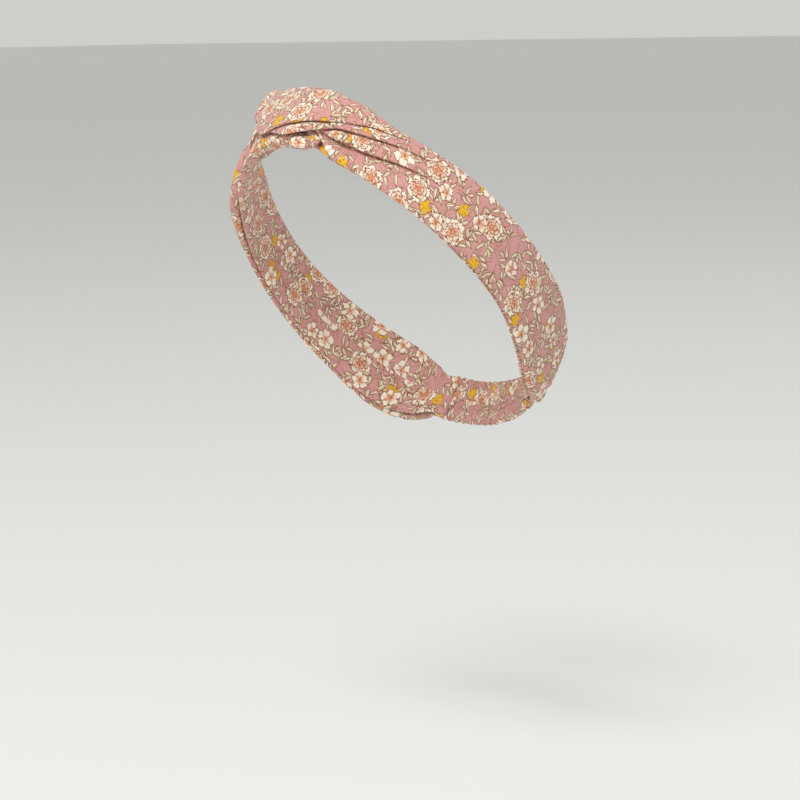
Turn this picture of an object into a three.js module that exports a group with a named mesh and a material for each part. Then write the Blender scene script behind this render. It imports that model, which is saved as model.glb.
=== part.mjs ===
// Twist headband in printed cotton, as worn: two cloth tubes hooked through each other at the
// front, each doubled back to make one side band, joined behind the neck by a gathered casing
// with an elastic strip inside. Millimetres. +Z up, -Y to the face, +X to the wearer's left.
import * as THREE from 'three';

// The loop the band lies on: an ellipse on a plane that leans back over the head.
const loopHalfLength = 100;
const loopHalfBreadth = 77;
const loopLean = 48.7;
const loopCentre = new THREE.Vector3(0, 6.5, -18);

// Stations round the loop in degrees: 0 is the top front, 90 the wearer's left ear.
const twistStation = -12;
const casingStation = 168;
const casingHalfSpan = 25;
const twistHalfLength = 27;
const rampLength = 11;

// The cloth tubes, pressed flat.
const bandWidth = 42;
const widthByTwist = 34;
const widens = 110;
const tubeThickness = 2.6;
const neckWidth = 23;
const foldWidth = 33;
const foldWaist = 13;
const foldThickness = 4.2;
const strandWidth = 7;
const strandThickness = 7.4;

// The elastic and its casing.
const casingWidth = 26;
const casingThickness = 4.4;
const casingWall = 0.7;
const elasticWidth = 20;
const elasticThickness = 1.2;

// Sewing thread rows and the air left between pieces that touch in the cloth one.
const threadWidth = 0.7;
const clearance = 0.35;

const rad = THREE.MathUtils.degToRad;
const sideways = new THREE.Vector3(1, 0, 0);
const toTwist = new THREE.Vector3(0, -Math.cos(rad(loopLean)), Math.sin(rad(loopLean)));
const loopNormal = new THREE.Vector3(0, Math.sin(rad(loopLean)), Math.cos(rad(loopLean)));
const mmPerRadian = 75;

// How far the band's face leans out of the loop's plane so that it lies on the head.
const faceLean = (t) => rad(3.1 - 4.5 * Math.cos(t) + 9.1 * Math.cos(2 * t));

// A point at station t (radians), out from the head and up across the band.
function onHead(t, out, up) {
  const point = loopCentre.clone()
    .addScaledVector(sideways, loopHalfBreadth * Math.sin(t))
    .addScaledVector(toTwist, loopHalfLength * Math.cos(t));
  const outward = new THREE.Vector3()
    .addScaledVector(sideways, Math.sin(t) / loopHalfBreadth)
    .addScaledVector(toTwist, Math.cos(t) / loopHalfLength)
    .normalize();
  const lean = faceLean(t);
  const face = outward.clone().multiplyScalar(Math.cos(lean)).addScaledVector(loopNormal, Math.sin(lean));
  const across = outward.multiplyScalar(-Math.sin(lean)).addScaledVector(loopNormal, Math.cos(lean));
  return point.addScaledVector(face, out).addScaledVector(across, up);
}

// A flat oval with full ends, as [along its width, along its thickness].
function flatOval(width, thickness, count) {
  return Array.from({ length: count }, (_, i) => {
    const a = 2 * Math.PI * i / count;
    const c = Math.cos(a);
    const s = Math.sin(a);
    return [
      0.5 * width * Math.sign(c) * Math.abs(c) ** 0.55,
      0.5 * thickness * Math.sign(s) * Math.abs(s) ** 0.55,
    ];
  });
}

// A closed solid through a row of rings with equal point counts.
function loft(rings) {
  const count = rings[0].length;
  const positions = rings.flat().flatMap((p) => [p.x, p.y, p.z]);
  const faces = [];
  for (let r = 0; r + 1 < rings.length; r += 1) {
    for (let i = 0; i < count; i += 1) {
      const a = r * count + i;
      const b = r * count + (i + 1) % count;
      faces.push(a, b, b + count, a, b + count, a + count);
    }
  }
  const last = (rings.length - 1) * count;
  for (let i = 1; i + 1 < count; i += 1) {
    faces.push(0, i + 1, i, last, last + i, last + i + 1);
  }
  return facingOut(positions, faces);
}

// A tube open at both ends, from outer and inner rings.
function openTube(outer, inner) {
  const count = outer[0].length;
  const skin = outer.length * count;
  const positions = [...outer.flat(), ...inner.flat()].flatMap((p) => [p.x, p.y, p.z]);
  const faces = [];
  for (let r = 0; r + 1 < outer.length; r += 1) {
    for (let i = 0; i < count; i += 1) {
      const a = r * count + i;
      const b = r * count + (i + 1) % count;
      faces.push(a, b, b + count, a, b + count, a + count);
      faces.push(a + skin, b + skin + count, b + skin, a + skin, a + skin + count, b + skin + count);
    }
  }
  const last = (outer.length - 1) * count;
  for (let i = 0; i < count; i += 1) {
    const j = (i + 1) % count;
    faces.push(i, j + skin, j, i, i + skin, j + skin);
    faces.push(last + i, last + j, last + j + skin, last + i, last + j + skin, last + i + skin);
  }
  return facingOut(positions, faces);
}

// Turns every face over if the solid came out inside out.
function facingOut(positions, faces) {
  const at = (i) => new THREE.Vector3().fromArray(positions, 3 * i);
  let volume = 0;
  for (let f = 0; f < faces.length; f += 3) {
    volume += at(faces[f]).dot(at(faces[f + 1]).cross(at(faces[f + 2])));
  }
  const wound = volume < 0 ? faces.flatMap((_, i) => (i % 3 ? [] : [faces[i], faces[i + 2], faces[i + 1]])) : faces;
  const geometry = new THREE.BufferGeometry();
  geometry.setAttribute('position', new THREE.Float32BufferAttribute(positions, 3));
  geometry.setIndex(wound);
  geometry.computeVertexNormals();
  return geometry;
}

const smooth = (x) => THREE.MathUtils.smoothstep(x, 0, 1);

// Band width a distance past the twist and before the casing: both ends are gathered in.
function widthAt(fromTwist, toCasing) {
  const opening = THREE.MathUtils.lerp(widthByTwist, bandWidth, smooth(fromTwist / widens));
  const gather = THREE.MathUtils.lerp(neckWidth, bandWidth, smooth(toCasing / 30));
  return Math.min(opening, gather);
}

// One leg of a doubled tube, lying along the head from the twist to the casing.
function leg(side, layer) {
  const start = rad(twistStation) + side * (twistHalfLength + rampLength + 0.8) / mmPerRadian;
  const end = rad(casingStation) - side * (rad(casingHalfSpan) + 1 / mmPerRadian) - (side < 0 ? 2 * Math.PI : 0);
  const middle = threadWidth + clearance + tubeThickness / 2 + layer * (tubeThickness + clearance);
  const stations = 30;
  const rings = Array.from({ length: stations + 1 }, (_, k) => {
    const t = THREE.MathUtils.lerp(start, end, k / stations);
    const width = widthAt(Math.abs(t - start) * mmPerRadian, Math.abs(end - t) * mmPerRadian);
    return flatOval(width, tubeThickness, 14).map(([w, h]) => onHead(t, middle + h, w));
  });
  return loft(rings);
}

// Rings of a bend that follows a curve of [along, out, up, width] points, flat across one axis.
function bend(points, flatAxis, thickness) {
  const curve = new THREE.CatmullRomCurve3(points.map((p) => new THREE.Vector3(...p)), false, 'centripetal');
  const widths = new THREE.CatmullRomCurve3(points.map((p) => new THREE.Vector3(p[3], 0, 0)), false, 'catmullrom');
  const steps = 40;
  const rings = Array.from({ length: steps + 1 }, (_, k) => {
    const u = curve.getUtoTmapping(k / steps);
    const centre = curve.getPoint(u);
    const through = new THREE.Vector3().crossVectors(curve.getTangent(u), flatAxis).normalize();
    return flatOval(widths.getPoint(u).x, thickness, 14).map(([w, h]) => {
      const p = centre.clone().addScaledVector(flatAxis, w).addScaledVector(through, h);
      return onHead(rad(twistStation) + p.x / mmPerRadian, p.y, p.z);
    });
  });
  return loft(rings);
}

// The left tube's fold wraps over and under; the right tube's fold passes through it.
const legFloor = threadWidth + clearance + tubeThickness / 2;
const threadedMiddle = legFloor + 0.9 + (foldThickness + strandThickness) / 2 + clearance;
const overTop = threadedMiddle + (foldThickness + strandThickness) / 2 + clearance;
const reach = twistHalfLength;
const foldEnd = twistHalfLength + rampLength;
const leftFold = [
  [foldEnd, legFloor + tubeThickness + 2.2, 0, foldWidth],
  [foldEnd - 5, legFloor + tubeThickness + 4.4, 0, foldWidth],
  [reach * 0.92, overTop - 1, 1, foldWidth],
  [reach * 0.55, overTop + 0.4, 3.5, foldWidth * 1.06],
  [-reach * 0.3, overTop + 1.2, 8, foldWidth],
  [-reach * 0.7, overTop + 1.6, 7, foldWidth * 0.72],
  [-reach * 0.9, overTop - 0.4, 2, foldWaist * 1.15],
  [-reach, threadedMiddle, 0, foldWaist],
  [-reach * 0.93, legFloor + 1.6, 0, foldWaist],
  [-reach * 0.5, legFloor + 0.4, 0, foldWidth * 0.5],
  [reach * 0.5, legFloor + 0.7, 0, foldWidth * 0.8],
  [foldEnd, legFloor - 0.1, 0, foldWidth],
];
const besideFold = (foldWaist + strandWidth) / 2 + 2 * clearance;
const rightFold = [
  [-foldEnd, threadedMiddle - 4.6, besideFold, strandThickness],
  [-reach, threadedMiddle - 0.4, besideFold, strandThickness],
  [-reach * 0.3, threadedMiddle, besideFold, strandThickness],
  [reach * 0.3, threadedMiddle, besideFold * 0.94, strandThickness],
  [reach * 0.62, threadedMiddle, besideFold * 0.6, strandThickness],
  [reach * 0.74, threadedMiddle, 0, strandThickness],
  [reach * 0.62, threadedMiddle, -besideFold * 0.6, strandThickness],
  [reach * 0.3, threadedMiddle, -besideFold * 0.94, strandThickness],
  [-reach * 0.3, threadedMiddle, -besideFold, strandThickness],
  [-reach, threadedMiddle - 0.4, -besideFold, strandThickness],
  [-foldEnd, threadedMiddle - 4.6, -besideFold, strandThickness],
];

function casing() {
  const steps = 22;
  const middle = threadWidth + clearance + casingThickness / 2;
  const ring = (k, width, thickness) => {
    const t = rad(casingStation - casingHalfSpan + 2 * casingHalfSpan * k / steps);
    return flatOval(width, thickness, 16).map(([w, h]) => onHead(t, middle + h, w));
  };
  const rows = Array.from({ length: steps + 1 }, (_, k) => k);
  return openTube(
    rows.map((k) => ring(k, casingWidth, casingThickness)),
    rows.map((k) => ring(k, casingWidth - 2 * casingWall, casingThickness - 2 * casingWall)),
  );
}

function elastic() {
  const steps = 22;
  const half = casingHalfSpan - 0.8;
  const middle = threadWidth + clearance + casingThickness / 2;
  return loft(Array.from({ length: steps + 1 }, (_, k) => {
    const t = rad(casingStation - half + 2 * half * k / steps);
    return flatOval(elasticWidth, elasticThickness, 12).map(([w, h]) => onHead(t, middle + h, w));
  }));
}

// A row of thread lying on the head side, along the loop between two stations.
function seamRow(from, to, up) {
  const steps = 26;
  return loft(Array.from({ length: steps + 1 }, (_, k) => {
    const t = THREE.MathUtils.lerp(from, to, k / steps);
    return flatOval(threadWidth, threadWidth * 0.8, 6).map(([w, h]) => onHead(t, threadWidth / 2 + h, up + w));
  }));
}

// A row of thread across the outside of a side band where its gathered end is sewn in.
function joinRow(side) {
  const t = rad(casingStation) - side * (rad(casingHalfSpan) + 5 / mmPerRadian);
  const out = threadWidth + 3 * clearance + 2 * tubeThickness + threadWidth / 2;
  const half = neckWidth / 2 - 3.5;
  const steps = 8;
  return loft(Array.from({ length: steps + 1 }, (_, k) => {
    const up = -half + 2 * half * k / steps;
    return flatOval(threadWidth, threadWidth * 0.8, 6)
      .map(([w, h]) => onHead(t + w / mmPerRadian, out + h, up));
  }));
}

const colours = {
  printed_cotton: 0xd9a79b,
  casing_cotton: 0xd2a094,
  elastic: 0xf2efe8,
  thread: 0xcf968a,
};
const surface = Object.fromEntries(Object.entries(colours).map(([name, color]) => (
  [name, new THREE.MeshStandardMaterial({ name, color, roughness: 0.9 })]
)));

const group = new THREE.Group();
group.name = 'twist_headband';
function add(name, geometry, material) {
  const mesh = new THREE.Mesh(geometry, surface[material]);
  mesh.name = name;
  group.add(mesh);
}

const up = new THREE.Vector3(0, 0, 1);
const out = new THREE.Vector3(0, 1, 0);
add('left_tube_fold', bend(leftFold, up, foldThickness), 'printed_cotton');
add('right_tube_fold', bend(rightFold, out, strandWidth), 'printed_cotton');
add('left_inner_leg', leg(1, 0), 'printed_cotton');
add('left_outer_leg', leg(1, 1), 'printed_cotton');
add('right_inner_leg', leg(-1, 0), 'printed_cotton');
add('right_outer_leg', leg(-1, 1), 'printed_cotton');
add('elastic_casing', casing(), 'casing_cotton');
add('elastic_strip', elastic(), 'elastic');
add('left_join_stitching', joinRow(1), 'thread');
add('right_join_stitching', joinRow(-1), 'thread');

const seamGap = rad(8);
const twistEdge = (side) => rad(twistStation) + side * (twistHalfLength + rampLength) / mmPerRadian;
const casingEdge = (side) => rad(casingStation) - side * rad(casingHalfSpan);
add('left_tube_seam', seamRow(twistEdge(1) + seamGap, casingEdge(1) - seamGap, -6), 'thread');
add('right_tube_seam', seamRow(twistEdge(-1) - seamGap, casingEdge(-1) - 2 * Math.PI + seamGap, -6), 'thread');
add('casing_seam', seamRow(casingEdge(1) + rad(1), casingEdge(-1) - rad(1), -5), 'thread');

export default group;
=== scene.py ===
# Twist headband in printed cotton, as worn. Sewing sizes are in millimetres; meshes are in metres.
import math

import bmesh
import bpy
import numpy as np
from mathutils import Matrix, Vector


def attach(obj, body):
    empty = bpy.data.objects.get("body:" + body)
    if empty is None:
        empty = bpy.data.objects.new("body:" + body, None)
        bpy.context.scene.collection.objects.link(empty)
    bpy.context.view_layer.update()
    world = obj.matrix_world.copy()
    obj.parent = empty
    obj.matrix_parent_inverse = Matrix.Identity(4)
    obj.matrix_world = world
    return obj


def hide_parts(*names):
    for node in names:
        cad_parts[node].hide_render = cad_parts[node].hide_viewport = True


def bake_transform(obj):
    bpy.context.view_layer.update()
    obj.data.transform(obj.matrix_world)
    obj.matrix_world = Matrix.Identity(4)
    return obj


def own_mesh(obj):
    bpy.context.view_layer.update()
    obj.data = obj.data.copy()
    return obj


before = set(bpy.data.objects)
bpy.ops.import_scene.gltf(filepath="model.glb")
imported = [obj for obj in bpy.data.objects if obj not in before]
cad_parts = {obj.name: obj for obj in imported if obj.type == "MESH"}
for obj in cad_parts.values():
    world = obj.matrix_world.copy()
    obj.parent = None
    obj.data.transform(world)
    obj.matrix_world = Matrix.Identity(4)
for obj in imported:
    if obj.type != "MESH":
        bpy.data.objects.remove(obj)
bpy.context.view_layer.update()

perMetre = 0.001

# The loop the band lies on. faceLean tips the band's face to suit the head, in degrees round the loop.
loop = {"halfLength": 100.0, "halfBreadth": 77.0, "lean": 48.7, "centre": (0.0, 6.5, -18.0),
        "twistAt": -12.0, "perRadian": 75.0, "faceLean": (3.1, -4.5, 9.1)}
leanBack = math.radians(loop["lean"])
toTwist = np.array([0.0, -math.cos(leanBack), math.sin(leanBack)])
loopNormal = np.array([0.0, math.sin(leanBack), math.cos(leanBack)])
sideways = np.array([1.0, 0.0, 0.0])


def onHead(along, out, up):
    # a point of the band: distance along it from the twist, height off the head, and place across it
    t = np.radians(loop["twistAt"]) + np.asarray(along, float) / loop["perRadian"]
    a, b = loop["halfLength"], loop["halfBreadth"]
    st, ct = np.sin(t)[..., None], np.cos(t)[..., None]
    point = np.array(loop["centre"]) + sideways * b * st + toTwist * a * ct
    outward = unit(sideways * st / b + toTwist * ct / a)
    level, once, twice = loop["faceLean"]
    lean = np.radians(level + once * np.cos(t) + twice * np.cos(2 * t))[..., None]
    face = outward * np.cos(lean) + loopNormal * np.sin(lean)
    across = -outward * np.sin(lean) + loopNormal * np.cos(lean)
    return (point + face * np.asarray(out)[..., None] + across * np.asarray(up)[..., None]) * perMetre


def unit(rows):
    return rows / np.linalg.norm(rows, axis=-1, keepdims=True)


def runningLength(steps):
    return np.concatenate([[0], np.cumsum(steps)])


def throughKeys(x, keys, values):
    # a smooth curve through the key values that never overshoots them
    keys = np.asarray(keys, float)
    values = np.asarray(values, float)
    shape = values.shape[1:]
    values = values.reshape(len(keys), -1)
    gap = np.diff(keys)[:, None]
    slope = np.diff(values, axis=0) / gap
    tangent = np.zeros_like(values)
    product = slope[:-1] * slope[1:]
    total = slope[:-1] + slope[1:]
    tangent[1:-1] = np.where(product > 0, 2 * product / np.where(np.abs(total) < 1e-9, 1e-9, total), 0)
    tangent[0], tangent[-1] = slope[0], slope[-1]
    i = np.clip(np.searchsorted(keys, x, side="right") - 1, 0, len(keys) - 2)
    u = ((x - keys[i]) / gap[i, 0])[:, None]
    found = ((2 * u**3 - 3 * u**2 + 1) * values[i] + (u**3 - 2 * u**2 + u) * gap[i] * tangent[i]
             + (3 * u**2 - 2 * u**3) * values[i + 1] + (u**3 - u**2) * gap[i] * tangent[i + 1])
    return found.reshape((len(x),) + shape)


def roundSection(controls, counts):
    # a closed smooth line through each ring's control points, counts[k] steps after point k
    steps = []
    number = controls.shape[1]

    def knot(a, b):
        return np.maximum(np.linalg.norm(b - a, axis=-1, keepdims=True), 1e-4) ** 0.5

    for k in range(number):
        p0, p1, p2, p3 = (controls[:, (k + i) % number] for i in (-1, 0, 1, 2))
        t1 = knot(p0, p1)
        t2 = t1 + knot(p1, p2)
        t3 = t2 + knot(p2, p3)
        for i in range(counts[k]):
            t = t1 + (t2 - t1) * i / counts[k]
            a1 = (t1 - t) / t1 * p0 + t / t1 * p1
            a2 = (t2 - t) / (t2 - t1) * p1 + (t - t1) / (t2 - t1) * p2
            a3 = (t3 - t) / (t3 - t2) * p2 + (t - t2) / (t3 - t2) * p3
            b1 = (t2 - t) / t2 * a1 + t / t2 * a2
            b2 = (t3 - t) / (t3 - t1) * a2 + (t - t1) / (t3 - t1) * a3
            steps.append((t2 - t) / (t2 - t1) * b1 + (t - t1) / (t2 - t1) * b2)
    return np.stack(steps, axis=1)


def softNoise(x, y, seed, octaves=3):
    # smooth lumps from a few crossed waves, the same on every run
    pick = np.random.default_rng(seed)
    total = np.zeros(np.broadcast(x, y).shape)
    for octave in range(octaves):
        for _ in range(5):
            angle, phase = pick.uniform(0, 2 * np.pi, 2)
            rate = (1.7 ** octave) * pick.uniform(0.8, 1.25)
            total += np.sin(rate * (np.cos(angle) * x + np.sin(angle) * y) + phase) / (1.6 ** octave)
    return total / 5


def newPiece(name, bm):
    mesh = bpy.data.meshes.new(name)
    bm.to_mesh(mesh)
    bm.free()
    piece = bpy.data.objects.new(name, mesh)
    bpy.context.scene.collection.objects.link(piece)
    return piece


def faceOutwards(bm):
    bmesh.ops.recalc_face_normals(bm, faces=bm.faces)
    if bm.calc_volume(signed=True) < 0:
        bmesh.ops.reverse_faces(bm, faces=bm.faces)


def clothMesh(name, points, frontAt, shift=(0, 0), wall=0.35):
    # points[i, j]: ring i along the piece, j around it; the last column repeats the first.
    # The UV map "cloth" lays the piece out flat in millimetres, measured from column frontAt.
    rings, around = points.shape[:2]
    across = np.linalg.norm(np.diff(points, axis=1), axis=-1)
    v = np.concatenate([np.zeros((rings, 1)), np.cumsum(across, axis=1)], axis=1)
    v = (v - v[:, frontAt:frontAt + 1]) / perMetre + shift[1]
    steps = np.linalg.norm(np.diff(points[:, frontAt], axis=0), axis=-1)
    u = runningLength(steps)[:, None] / perMetre + shift[0] + np.zeros((rings, around))

    bm = bmesh.new()
    bmesh.ops.create_grid(bm, x_segments=rings - 1, y_segments=around - 1, size=0.5)
    bm.verts.ensure_lookup_table()
    place = [(round((p.co.x + 0.5) * (rings - 1)), round((p.co.y + 0.5) * (around - 1))) for p in bm.verts]
    uvLayer = bm.loops.layers.uv.new("cloth")
    for face in bm.faces:
        face.smooth = True
        for corner in face.loops:
            i, j = place[corner.vert.index]
            corner[uvLayer].uv = (u[i, j], v[i, j])
    for vert in bm.verts:
        i, j = place[vert.index]
        vert.co = points[i, j]
    bmesh.ops.remove_doubles(bm, verts=bm.verts, dist=1e-7)
    faceOutwards(bm)
    piece = newPiece(name, bm)
    if wall:
        thicken(piece, wall)
    return piece


def thicken(piece, wall):
    # the cloth's own thickness, laid inwards from the modelled face
    layer = piece.modifiers.new("cloth wall", "SOLIDIFY")
    layer.thickness = wall * perMetre
    layer.offset = -1.0
    layer.use_even_offset = False
    bpy.context.view_layer.objects.active = piece
    with bpy.context.temp_override(object=piece, active_object=piece, selected_objects=[piece]):
        bpy.ops.object.modifier_apply(modifier=layer.name)


# Where the seventeen front and five back control points sit across a flat tube.
frontShares = [-1.0, -0.955, -0.66, -0.36, -0.26, -0.2, 0.0, 0.14, 0.2, 0.34, 0.44, 0.5, 0.6, 0.72, 0.85,
               0.955, 1.0]
backShares = [0.955, 0.5, 0.0, -0.5, -0.955]
frontCounts = [3, 9, 9, 5, 5, 7, 6, 5, 6, 5, 4, 6, 6, 6, 5, 3]
backCounts = [3, 6, 8, 8, 6, 3]
sectionCounts = frontCounts + backCounts
frontMiddle = sum(frontCounts[:12])
seamAt = sum(sectionCounts[:19])          # the middle of the back, where the closing seam runs
ridgeWave = (0.8, -1.0, 0.7, -0.6, 1.0, -0.9)
rimThickness = 0.86                       # a tube's thickness close to its two edges


def flatTube(lower, upper, middle, thickness, crown=0.5, ridge=0.0, tilt=0.0):
    # one flattened tube's control points as [up, height]
    half, centre = 0.5 * (upper - lower), 0.5 * (upper + lower)
    rows = []
    for k, share in enumerate(frontShares):
        lift = 0.5 * thickness * (0.0 if abs(share) == 1 else rimThickness if abs(share) > 0.9 else 1.0)
        wave = ridge * ridgeWave[k % len(ridgeWave)] if abs(share) < 0.9 else 0
        rows.append([centre + half * share, middle + lift + crown * (1 - share**2) + wave + tilt * share])
    for share in backShares:
        drop = 0.5 * thickness * (rimThickness if abs(share) > 0.9 else 1.0)
        rows.append([centre + half * share, middle - drop + crown * 0.6 * (1 - share**2)])
    return rows


def shapedTube(front, back):
    # a section given by its own front points and the height of the back
    low, high = front[0][0], front[-1][0]
    rows = front.tolist()
    for share in backShares:
        up = 0.5 * (low + high) + 0.5 * (high - low) * share * 0.97
        rows.append([up, back + (0.25 if abs(share) > 0.9 else 0)])
    return rows


def wrinkles(s, up, style):
    # streaks that run out from the twist, low lumps all over, and gathers at the casing's mouth
    seed = style["noiseSeed"]
    nearTwist = np.exp(-((s - style["streaksAt"]) / style["streaksReach"]) ** 2)
    streaks = softNoise(s / 11, up / 3.2, seed) * (0.35 + 0.65 * nearTwist)
    pleats = softNoise(s / 40, up / 1.15, seed + 2, 2) * np.clip((np.abs(s) - 150) / 40, 0, 1) ** 1.5
    lumps = softNoise(s / 9, up / 6, seed + 6, 2)
    return style["wrinkle"] * (streaks + 0.8 * lumps) + style["gather"] * pleats


def sewnTube(name, points, style):
    points = np.roll(points, -seamAt, axis=1)
    points = np.concatenate([points, points[:, :1]], axis=1)
    return clothMesh(name, points, (frontMiddle - seamAt) % sum(sectionCounts), style["printShift"])


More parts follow.
